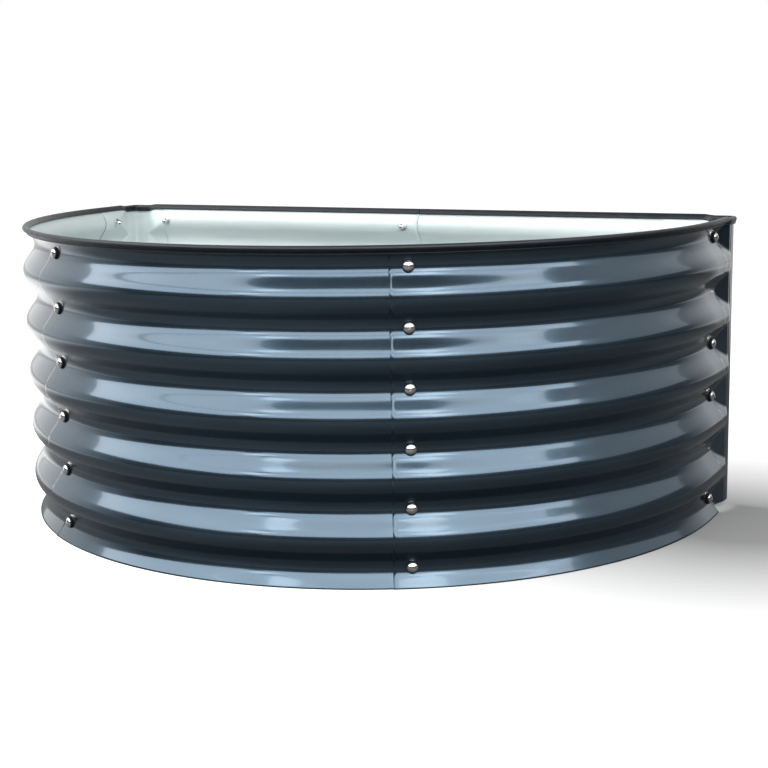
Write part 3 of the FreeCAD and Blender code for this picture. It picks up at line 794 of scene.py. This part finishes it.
def bolt_solid():
    """A shank, a low domed head and its cross recess."""
    rim = HEAD_SEAT + HEAD_RIM - 0.0003
    profile = [(SHANK_END, 0), (SHANK_END, SHANK - SHANK_CHAMFER), (SHANK_END + SHANK_CHAMFER, SHANK),
               (HEAD_SEAT, SHANK), (HEAD_SEAT, HEAD_RADIUS - 0.0002), (HEAD_SEAT + 0.0002, HEAD_RADIUS)]
    profile += dome(rim, HEAD_TOP - rim, HEAD_RADIUS, RECESS, 8)
    bm = spun(profile, 32)
    top = [line for line in bm.edges if line.is_boundary]
    for vert in {vert for line in top for vert in line.verts}:
        angle = math.degrees(math.atan2(vert.co.z, vert.co.y)) % 90
        if ARM_END < angle < ARM_START:
            vert.co.y *= BETWEEN_ARMS
            vert.co.z *= BETWEEN_ARMS
            vert.co.x += BETWEEN_LIFT
    walls = bmesh.ops.extrude_edge_only(bm, edges=top)["geom"]
    floor_verts = [item for item in walls if isinstance(item, bmesh.types.BMVert)]
    bmesh.ops.translate(bm, verts=floor_verts, vec=AXIS * -RECESS_DEPTH)
    bmesh.ops.scale(bm, verts=floor_verts, vec=(1, RECESS_TAPER, RECESS_TAPER))
    bmesh.ops.holes_fill(bm, edges=[line for line in bm.edges if line.is_boundary], sides=0)
    return finish_solid(bm, 45)


def washer_solid():
    """The rubber under the head: flat towards the head, hollowed to the groove towards the sheet."""
    groove_radius, centre = 0.02045, 0.02205
    low, top, outer, bore, soft = 0.003, 0.004125, 0.00775, 0.0033, 0.0004
    profile = [(low, bore), (low, outer - soft), (low + soft, outer), (top - soft, outer),
               (top, outer - soft), (top, bore), (low, bore)]
    bm = spun(profile, 40)
    for vert in bm.verts:
        if vert.co.x < low + soft + 0.0001:
            on_groove = centre - math.sqrt(groove_radius ** 2 - vert.co.z ** 2)
            vert.co.x = on_groove + (soft if vert.co.x > low + soft / 2 else 0)
    return finish_solid(bm, 50)


def nut_solid():
    """Flanged hexagon with a domed cap."""
    seat, flange, flats, hexagon = -0.0008, 0.0016, 0.010, 0.0044
    sunk = 0.0002            # how far the hexagon's foot is sunk in the flange
    bm = spun([(seat, 0), (seat, 0.0069), (seat - 0.0003, 0.007), (seat - 0.0009, 0.007),
               (seat - flange, 0.0058), (seat - flange, 0)], 36)
    prism = bmesh.new()
    bmesh.ops.create_circle(prism, cap_ends=True, segments=6, radius=flats / math.sqrt(3))
    body = bmesh.ops.extrude_face_region(prism, geom=prism.faces[:])["geom"]
    raised = [item for item in body if isinstance(item, bmesh.types.BMVert)]
    bmesh.ops.translate(prism, verts=raised, vec=(0, 0, hexagon))
    bmesh.ops.bevel(prism, geom=prism.edges[:], offset=0.0004, affect="EDGES", segments=2,
                    profile=0.5, material=-1)
    inwards = Matrix.Rotation(math.radians(-90), 4, "Y")
    onto_flange = Matrix.Translation((seat - flange + sunk, 0, 0)) @ inwards
    bmesh.ops.transform(prism, matrix=onto_flange, verts=prism.verts)
    foot, cap_rise, cap_radius = seat - flange - hexagon + 2 * sunk, 0.0043, 0.0046
    crown = [(2 * foot - along, radius) for along, radius in dome(foot, cap_rise, cap_radius, 0, 8)]
    cap = spun([(foot, 0), (foot, cap_radius)] + crown, 32)
    for part in (prism, cap):
        mesh = bpy.data.meshes.new("nut_part")
        part.to_mesh(mesh)
        part.free()
        bm.from_mesh(mesh)
    return finish_solid(bm, 40)


MASTERS = {
    "bolts": (bolt_solid(), CHROME, "bolt_chrome"),
    "washers": (washer_solid(), WASHER_RUBBER, "washer_rubber"),
    "nuts": (nut_solid(), ZINC, "nut_steel"),
}
for kind, (bm, material, slot) in MASTERS.items():
    print(kind, len(bm.faces), "faces")

# %% [markdown]
# ## Fasteners in their places
# A seam's bolts are one piece, as in the CAD. Every copy of a master mesh is turned so that its
# axis points out of the wall, and a little about that axis, because nobody lines up the slots.

# %% Place the fasteners
SEAM_TURN, ROW_TURN = 37, 53      # degrees of turn from one seam, or one row, to the next


def fasteners(kind, seam, number):
    bm, material, slot = MASTERS[kind]
    mesh = bpy.data.meshes.new("one_" + kind)
    bm.to_mesh(mesh)
    group = bmesh.new()
    away = outward(seam)
    heading = Matrix.Rotation(math.atan2(away.y, away.x), 4, "Z")
    for row in range(ROWS):
        if row in OPEN_HOLES.get(seam, ()):
            continue
        before = set(group.verts)
        group.from_mesh(mesh)
        fresh = [vert for vert in group.verts if vert not in before]
        turned = 0 if kind == "washers" else (number * SEAM_TURN + row * ROW_TURN) % 90
        about = Matrix.Rotation(math.radians(turned), 4, "X")
        placed = Matrix.Translation(bolt_place(seam, row)) @ heading @ about
        bmesh.ops.transform(group, verts=fresh, matrix=placed)
    name = kind + "_" + seam
    piece = obj_from(group, name + "_set", material)
    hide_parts(name)
    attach(piece, "root")


for number, seam in enumerate(SEAMS):
    for kind in MASTERS:
        fasteners(kind, seam, number)
print(len(SEAMS) * len(MASTERS), "sets of fasteners")

# %% [markdown]
# ## Camera
# The camera was found from the places of the bolts in the photograph. Its lens follows from the
# picture's width and the focal length, both in pixels.

# %% Camera
PHOTO_PIXELS = 768
FOCAL_PIXELS = 1530.8
SENSOR = 36.0
YAW, DOWN, ROLL = 0.468, 0.183, -0.017
EYE_PLACE = (1.073, -1.896, 0.6017)

eye = bpy.data.cameras.new("photo_camera")
eye.sensor_width = SENSOR
eye.lens = FOCAL_PIXELS / PHOTO_PIXELS * SENSOR
camera = bpy.data.objects.new("photo_camera", eye)
bpy.context.collection.objects.link(camera)
level_turn = Matrix.Rotation(YAW, 4, "Z") @ Matrix.Rotation(math.pi / 2 - DOWN, 4, "X")
camera.matrix_world = Matrix.Translation(EYE_PLACE) @ level_turn @ Matrix.Rotation(ROLL, 4, "Z")
bpy.context.scene.camera = camera
print("camera at", EYE_PLACE, "lens", round(eye.lens, 1), "mm")

# %% [markdown]
# ## Floor and world
# The background is plain white. The floor is pale where the camera sees it and dark where the
# paint mirrors it, as if the studio's floor were covered just out of the picture. Part of its
# paleness is a glow that only the camera sees. The glow is nil beside the right corner, so the
# shadow stays there, and it grows to white a short way off. What lies behind the bed on the left is
# white to glancing rays too, which gives the waves their pale outline on that side.

# %% Floor and world
SHADOW_PLACE = (0.57, 0.22, 0)
AMBIENT = 0.12           # brightness of the room outside the picture
SIDEWAYS = 0.9           # how much a place's X counts against its Y in lying behind the bed


def seen_white(tree, behind):
    """1 on rays that should meet white: from the camera, or mirrored from behind the bed."""
    return (tree.ray("Is Camera Ray").math("MAXIMUM", tree.ray("Is Transmission Ray"))
            .math("MAXIMUM", tree.ray("Is Glossy Ray") * behind))


def pale_ground():
    ground = Finish("pale_ground")
    spot = ground.place()
    behind = ground.between(ground.axis(spot, 1) - ground.axis(spot, 0) * SIDEWAYS, 0.6, 1.6, 0, 0.6)
    away = ground.node("ShaderNodeVectorMath", {"operation": "DISTANCE"},
                       {0: spot, 1: SHADOW_PLACE}, "Value")
    level = ground.between(away, 0.10, 0.60, 0.0, 1.0)
    seen = seen_white(ground, behind)
    tone = ground.colours(seen, (0.09, 0.09, 0.09, 1), (0.31, 0.31, 0.31, 1))
    base = ground.surface(Base_Color=tone, Roughness=0.9, Specular_IOR_Level=0.2)
    glow = ground.node("ShaderNodeEmission", None, {"Color": (1, 1, 1, 1), "Strength": seen * level})
    return ground.done(ground.node("ShaderNodeAddShader", None, {0: base, 1: glow}))


bm = bmesh.new()
bmesh.ops.create_grid(bm, x_segments=1, y_segments=1, size=12)
floor = obj_from(bm, "floor", pale_ground())

world = bpy.data.worlds.new("studio")
bpy.context.scene.world = world
world.use_nodes = True
sky = Finish("studio", world.node_tree)
heading = sky.node("ShaderNodeTexCoord", output="Generated")
behind = sky.between(sky.axis(heading, 1) - sky.axis(heading, 0) * SIDEWAYS, 0.2, 0.9, 0, 1)
strength = seen_white(sky, behind) * (1 - AMBIENT) + AMBIENT
shine = sky.node("ShaderNodeBackground", None, {"Color": (1, 1, 1, 1), "Strength": strength})
sky.tree.links.new(shine.socket, sky.tree.nodes.new("ShaderNodeOutputWorld").inputs["Surface"])
bpy.context.scene.view_settings.view_transform = "Standard"
print("world", len(sky.tree.nodes), "nodes")

# %% [markdown]
# ## Lamps
# Gloss paint is lit by what it mirrors. On the upper side of a wave the mirrored ray climbs from
# the floor to high in the sky within a few centimetres, so a soft box that fills the sky between
# two heights shows as one pale band along every wave. Four of them stand round the front and the
# right, each aimed at the bed and leaned over it. A narrow gap between the lower and the upper
# half of each draws the thin dark line in the middle of the band. A separate key light from the
# left casts the shadow.

# %% Lamps
AIM_PLACE = Vector((0.1, -0.25, 0.2))
BAR_LOW, BAR_HIGH = 41, 42       # degrees of height between which the gap lies
LEAN_IN = 0.62           # distance of a half's top as a share of its foot's
UPPER_NEARER, UPPER_NARROWER = 0.85, 0.9    # an upper half's distance and width beside a lower's


def area_lamp(name, size_x, size_y, radiance):
    """A rectangular lamp. Its power follows from how bright its face is."""
    lamp = bpy.data.lights.new(name, "AREA")
    lamp.shape = "RECTANGLE"
    lamp.size = size_x
    lamp.size_y = size_y
    lamp.energy = radiance * math.pi * lamp.size * lamp.size_y
    light = bpy.data.objects.new(name, lamp)
    bpy.context.collection.objects.link(light)
    light.visible_camera = False
    return light


def half_box(name, azimuth, distance, low_angle, high_angle, width, radiance):
    """Half a box, between two heights in degrees. Azimuth 0 is the front and 90 the right."""
    azimuth = math.radians(azimuth)
    ahead = Vector((math.sin(azimuth), -math.cos(azimuth), 0))

    def end(reach, height):
        return AIM_PLACE + ahead * reach + Vector((0, 0, reach * math.tan(math.radians(height))))

    low_end, high_end = end(distance, low_angle), end(distance * LEAN_IN, high_angle)
    light = area_lamp(name, width, (high_end - low_end).length, radiance)
    up = (high_end - low_end).normalized()
    side = Vector((math.cos(azimuth), math.sin(azimuth), 0))
    turn = Matrix((side, up, side.cross(up))).transposed().to_4x4()
    light.matrix_world = Matrix.Translation((low_end + high_end) / 2) @ turn
    print(name, "from", tuple(round(v, 2) for v in low_end), "to", tuple(round(v, 2) for v in high_end))


def barred_box(name, azimuth, distance, low_angle, high_angle, width, radiance):
    """A soft box in two halves, with the dark bar between them."""
    half_box(name + "_low", azimuth, distance, low_angle, BAR_LOW, width, radiance)
    half_box(name + "_high", azimuth, distance * UPPER_NEARER, BAR_HIGH, high_angle,
             width * UPPER_NARROWER, radiance)


def key_light(place, target, side, radiance):
    """The light that casts the shadow. Gloss paint doesn't mirror it, as if it were flagged off."""
    light = area_lamp("key", side, side, radiance)
    away = Vector(place) - Vector(target)
    light.matrix_world = Matrix.Translation(place) @ away.to_track_quat("Z", "Y").to_matrix().to_4x4()
    light.visible_glossy = False
    print("key light at", place)


barred_box("front_box", 18, 3.0, 20, 60, 3.2, 3.5)
barred_box("left_box", -50, 3.0, 20, 60, 3.4, 3.3)
barred_box("side_box", 72, 3.0, 20, 58, 2.5, 3.3)
barred_box("right_box", 120, 3.0, 14, 60, 2.4, 0.6)
key_light((-2.2, 0.35, 1.7), (0.3, 0, 0.2), 0.9, 50)
